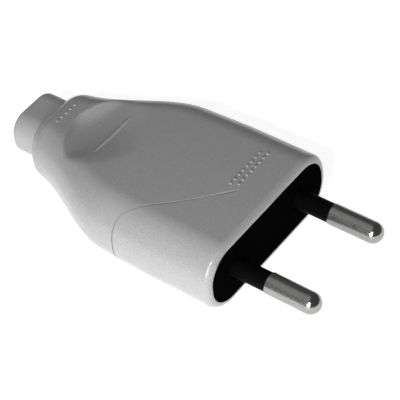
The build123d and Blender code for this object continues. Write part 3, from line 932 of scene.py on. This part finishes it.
def turned_metal(name, colour, roughness, lines, depth, bright_from=None):
    """Turned and plated metal: hair lines round the axis and soft wear in the colour and the gloss.

    The lines are so many a metre. Beyond a given x the gloss rises, as on the polished round end of a pin.
    """
    material, nodes, links, shader, here = new_material(name, colour, roughness, metallic=1.0)
    stretch = nodes.new("ShaderNodeMapping")
    stretch.inputs["Scale"].default_value = (lines, HAIR_LUMPS, HAIR_LUMPS)
    links.new(here, stretch.inputs["Vector"])
    glossier, duller = 0.03, 0.05
    hair = noise(nodes, links, stretch.outputs["Vector"], scale=1.0, detail=4, roughness=0.7)
    wear = noise(nodes, links, here, WEAR_LUMPS, detail=4, roughness=0.6)
    links.new(shade(nodes, links, wear, colour, darker=0.82, lighter=1.12), shader.inputs["Base Color"])
    dull = spread(nodes, links, wear, PATTERN_LOW, PATTERN_HIGH, roughness - glossier, roughness + duller)
    if bright_from is not None:
        fade, share_left = 0.0006, 0.5
        split = nodes.new("ShaderNodeSeparateXYZ")
        links.new(here, split.inputs["Vector"])
        share = spread(nodes, links, split.outputs["X"], bright_from, bright_from + fade, 1.0, share_left)
        polish = nodes.new("ShaderNodeMath")
        polish.operation = "MULTIPLY"
        links.new(dull, polish.inputs[0])
        links.new(share, polish.inputs[1])
        dull = polish.outputs["Value"]
    links.new(dull, shader.inputs["Roughness"])
    links.new(relief(nodes, links, hair, strength=0.5, distance=depth), shader.inputs["Normal"])
    return material


def dress(node, material):
    """Gives a CAD node a finish."""
    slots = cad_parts[node].material_slots
    for slot in slots:
        slot.material = material
    if not slots:
        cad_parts[node].data.materials.append(material)


def pale_floor(stage, colour):
    """A square floor at the height of the plug's underside. It glows less with distance from the origin."""
    material, nodes, links, shader, here = new_material("pale_floor", colour, roughness=0.7)
    shader.inputs["Emission Color"].default_value = (1, 1, 1, 1)
    lumps = noise(nodes, links, here, FLOOR_LUMPS)
    links.new(relief(nodes, links, lumps, strength=0.1, distance=0.00002), shader.inputs["Normal"])
    away = nodes.new("ShaderNodeVectorMath")
    away.operation = "LENGTH"
    links.new(here, away.inputs[0])
    links.new(spread(nodes, links, away.outputs["Value"], stage.glow_near, stage.glow_far, stage.floor_glow,
                     stage.glow_left * stage.floor_glow), shader.inputs["Emission Strength"])
    mesh = bpy.data.meshes.new("floor")
    corners = [(-FLOOR_HALF, -FLOOR_HALF, FLOOR_Z), (FLOOR_HALF, -FLOOR_HALF, FLOOR_Z),
               (FLOOR_HALF, FLOOR_HALF, FLOOR_Z), (-FLOOR_HALF, FLOOR_HALF, FLOOR_Z)]
    mesh.from_pydata(corners, [], [(0, 1, 2, 3)])
    mesh.materials.append(material)
    floor = bpy.data.objects.new("floor", mesh)
    bpy.context.scene.collection.objects.link(floor)


def soft_light(name, place, aim, size, power):
    """A square soft light that faces a place on the plug's middle line."""
    lamp = bpy.data.lights.new(name, "AREA")
    lamp.size = size
    lamp.energy = power
    light = bpy.data.objects.new(name, lamp)
    light.location = place
    light.rotation_euler = (Vector(place) - Vector((aim, 0, 0))).to_track_quat("Z", "Y").to_euler()
    bpy.context.scene.collection.objects.link(light)


def photo_camera(stage):
    """The camera: at its distance from the mating face, turned, rolled and moved aside in its own plane."""
    back = Vector((math.sin(stage.azimuth) * math.cos(stage.elevation),
                   -math.cos(stage.azimuth) * math.cos(stage.elevation), math.sin(stage.elevation)))
    right = Vector((math.cos(stage.azimuth), math.sin(stage.azimuth), 0))
    up = back.cross(right)
    side = math.cos(stage.roll) * right + math.sin(stage.roll) * up
    top = -math.sin(stage.roll) * right + math.cos(stage.roll) * up
    lens = bpy.data.cameras.new("photo_camera")
    lens.lens = stage.lens
    lens.sensor_width = 36
    lens.clip_start = 0.01
    camera = bpy.data.objects.new("photo_camera", lens)
    place = back * stage.distance - side * stage.shift_right - top * stage.shift_up
    camera.matrix_world = Matrix.Translation(place) @ Matrix((side, top, back)).transposed().to_4x4()
    bpy.context.scene.collection.objects.link(camera)
    return camera


class PLUG_OT_cover_shell(bpy.types.Operator):
    """Make the grey cover with its scoops, fine line and screw recess"""
    bl_idname = "plug.cover_shell"
    bl_label = "Cover Shell"

    def execute(self, context):
        scene = context.scene
        finish = moulded_plastic("satin_silver_grey", scene.plug_finish.cover_colour,
                                 roughness=0.23, grain=5200, depth=0.000004, mottle=0.12)
        points, faces = cover_mesh(scene.plug_cover, scene.plug_scoop, scene.plug_nozzle)
        make_piece("cover_shell", points, faces, finish, "cover_grey", ["cover"])
        points, faces = pip_mesh(scene.plug_cover, scene.plug_marks)
        make_piece("raised_pips", points, faces, finish, "cover_grey")
        return {"FINISHED"}


class PLUG_OT_cord_nozzle(bpy.types.Operator):
    """Make the bush that a cord would leave through"""
    bl_idname = "plug.cord_nozzle"
    bl_label = "Cord Nozzle"

    def execute(self, context):
        scene = context.scene
        finish = moulded_plastic("soft_nozzle_grey", scene.plug_finish.nozzle_colour,
                                 roughness=0.5, grain=4200, depth=0.000014)
        points, faces = nozzle_mesh(scene.plug_cover, scene.plug_nozzle)
        make_piece("nozzle_bush", points, faces, finish, "nozzle_grey", ["cord_nozzle"])
        return {"FINISHED"}


class PLUG_OT_contact_pins(bpy.types.Operator):
    """Make the two plated pins and their black sleeves"""
    bl_idname = "plug.contact_pins"
    bl_label = "Contact Pins"

    def execute(self, context):
        finish, pins = context.scene.plug_finish, context.scene.plug_pins
        nickel = turned_metal("nickel_plate", finish.nickel_colour, roughness=0.3, lines=9000,
                              depth=0.0000035, bright_from=pins.projection - pins.radius)
        black = moulded_plastic("black_sleeve", finish.black_colour, roughness=0.5, grain=6000,
                                depth=0.000006, mottle=0.1, gloss=0.03)
        for side, sign in (("left", 1), ("right", -1)):
            y = sign * pins.spacing / 2
            make_piece(f"contact_pin_{side}", *pin_mesh(pins, y), nickel, "pin_nickel", [f"pin_{side}"])
            make_piece(f"insulating_sleeve_{side}", *sleeve_mesh(pins, y), black, "sleeve_black",
                       [f"pin_sleeve_{side}"])
        return {"FINISHED"}


class PLUG_OT_inner_parts(bpy.types.Operator):
    """Give the carrier, the clamp and the fasteners their finishes"""
    bl_idname = "plug.inner_parts"
    bl_label = "Inner Parts"

    def execute(self, context):
        finish = context.scene.plug_finish
        black = moulded_plastic("matt_carrier_black", finish.black_colour, roughness=0.8, grain=5000,
                                depth=0.00001, mottle=0.1, gloss=0.0)
        steel = turned_metal("zinc_plated_steel", finish.steel_colour, roughness=0.3, lines=5000,
                             depth=0.000003)
        spring = turned_metal("spring_steel", finish.steel_colour, roughness=0.24, lines=2500,
                              depth=0.000002)
        clamp = moulded_plastic("dark_clamp_grey", finish.clamp_colour, roughness=0.5, grain=5000,
                                depth=0.00001)
        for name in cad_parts:
            if name.startswith(("contact_carrier", "carrier_lid")):
                dress(name, black)
            elif name.startswith("cord_clamp_bar"):
                dress(name, clamp)
            elif name.startswith("wire_guard"):
                dress(name, spring)
            elif "screw" in name or "nut" in name:
                dress(name, steel)
        return {"FINISHED"}


class PLUG_OT_studio(bpy.types.Operator):
    """Make the pale floor, the soft lights and the camera"""
    bl_idname = "plug.studio"
    bl_label = "Studio"

    def execute(self, context):
        scene = context.scene
        stage = scene.plug_stage
        pale_floor(stage, scene.plug_finish.floor_colour)
        world = bpy.data.worlds.new("studio_air")
        world.use_nodes = True
        air = world.node_tree.nodes["Background"]
        air.inputs["Color"].default_value = (1, 1, 1, 1)
        air.inputs["Strength"].default_value = stage.air_glow
        scene.world = world
        scene.view_settings.view_transform = "Standard"
        soft_light("key_light", stage.key_place, stage.key_aim, stage.key_size, stage.key_power)
        soft_light("edge_light", stage.edge_place, stage.edge_aim, stage.edge_size, stage.edge_power)
        soft_light("fill_light", stage.fill_place, stage.fill_aim, stage.fill_size, stage.fill_power)
        scene.camera = photo_camera(stage)
        return {"FINISHED"}


class PLUG_PT_build(bpy.types.Panel):
    """Buttons for each group of pieces"""
    bl_idname = "PLUG_PT_build"
    bl_label = "Flat Mains Plug"
    bl_space_type = "VIEW_3D"
    bl_region_type = "UI"
    bl_category = "Plug"

    def draw(self, context):
        for step in STEPS:
            self.layout.operator(step.bl_idname)


GROUPS = {
    "plug_cover": PlugCoverSizes, "plug_scoop": PlugScoopSizes, "plug_marks": PlugMarkSizes,
    "plug_nozzle": PlugNozzleSizes, "plug_pins": PlugPinSizes, "plug_finish": PlugFinishes,
    "plug_stage": PlugStageSettings,
}
STEPS = (PLUG_OT_cover_shell, PLUG_OT_cord_nozzle, PLUG_OT_contact_pins, PLUG_OT_inner_parts,
         PLUG_OT_studio)


def register():
    for group in GROUPS.values():
        bpy.utils.register_class(group)
    for name, group in GROUPS.items():
        setattr(bpy.types.Scene, name, PointerProperty(type=group))
    for step in STEPS:
        bpy.utils.register_class(step)
    bpy.utils.register_class(PLUG_PT_build)


def unregister():
    bpy.utils.unregister_class(PLUG_PT_build)
    for step in reversed(STEPS):
        bpy.utils.unregister_class(step)
    for name in GROUPS:
        delattr(bpy.types.Scene, name)
    for group in reversed(GROUPS.values()):
        bpy.utils.unregister_class(group)


def main():
    """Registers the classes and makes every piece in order."""
    register()
    bpy.ops.plug.cover_shell()
    bpy.ops.plug.cord_nozzle()
    bpy.ops.plug.contact_pins()
    bpy.ops.plug.inner_parts()
    bpy.ops.plug.studio()


if __name__ == "__main__":
    main()
